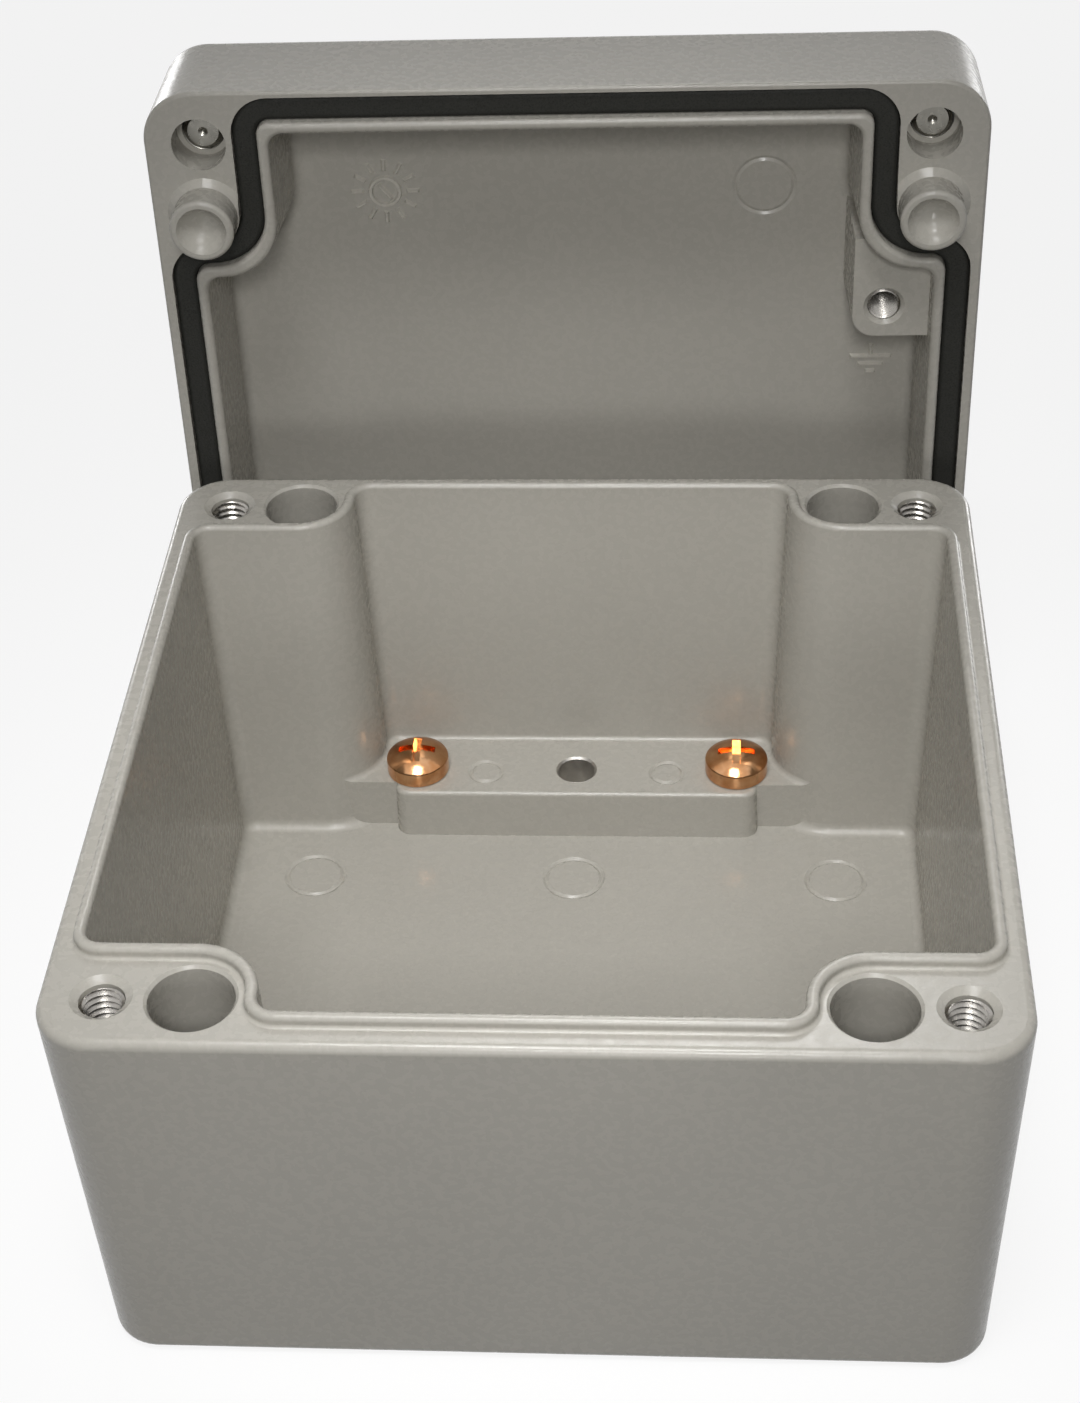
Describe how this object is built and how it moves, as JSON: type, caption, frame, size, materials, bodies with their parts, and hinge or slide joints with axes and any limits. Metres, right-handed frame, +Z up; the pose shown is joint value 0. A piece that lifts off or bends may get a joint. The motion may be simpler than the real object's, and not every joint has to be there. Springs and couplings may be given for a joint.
{
  "type": "die cast aluminium box",
  "caption": "Painted die cast enclosure with a gasketed lid taken off and stood behind it, earthing screws inside and captive lid screws.",
  "frame": {"origin": "middle of the base's flat underside, which stands on a table or against a wall", "axes": "+X to the right along the base's shorter side, +Y to the back, where the lid stands, and +Z up out of the base's open mouth"},
  "size_m": [0.122, 0.1529, 0.12],
  "materials": {
    "grey_paint": "satin",
    "grey_paint_lid": "satin",
    "black_rubber": "matte",
    "copper_plate": "polished",
    "screw_steel": "satin"
  },
  "bodies": {
    "box": {"base_casting": "grey_paint", "lid_casting": "grey_paint_lid", "lid_gasket": "black_rubber", "earth_screw_left": "copper_plate", "earth_screw_right": "copper_plate"},
    "screw_top_left": {"lid_screw_top_left": "screw_steel"},
    "screw_top_right": {"lid_screw_top_right": "screw_steel"},
    "screw_bottom_left": {"lid_screw_bottom_left": "screw_steel"},
    "screw_bottom_right": {"lid_screw_bottom_right": "screw_steel"}
  },
  "joints": [
    {"name": "screw_top_left_slide", "type": "slide", "parent": "box", "child": "screw_top_left", "axis": [0.0122, -0.9998, 0.0175], "range_m": [0, 0.01]},
    {"name": "screw_top_right_slide", "type": "slide", "parent": "box", "child": "screw_top_right", "axis": [0.0122, -0.9998, 0.0175], "range_m": [0, 0.01]},
    {"name": "screw_bottom_left_slide", "type": "slide", "parent": "box", "child": "screw_bottom_left", "axis": [0.0122, -0.9998, 0.0175], "range_m": [0, 0.01]},
    {"name": "screw_bottom_right_slide", "type": "slide", "parent": "box", "child": "screw_bottom_right", "axis": [0.0122, -0.9998, 0.0175], "range_m": [0, 0.01]}
  ]
}
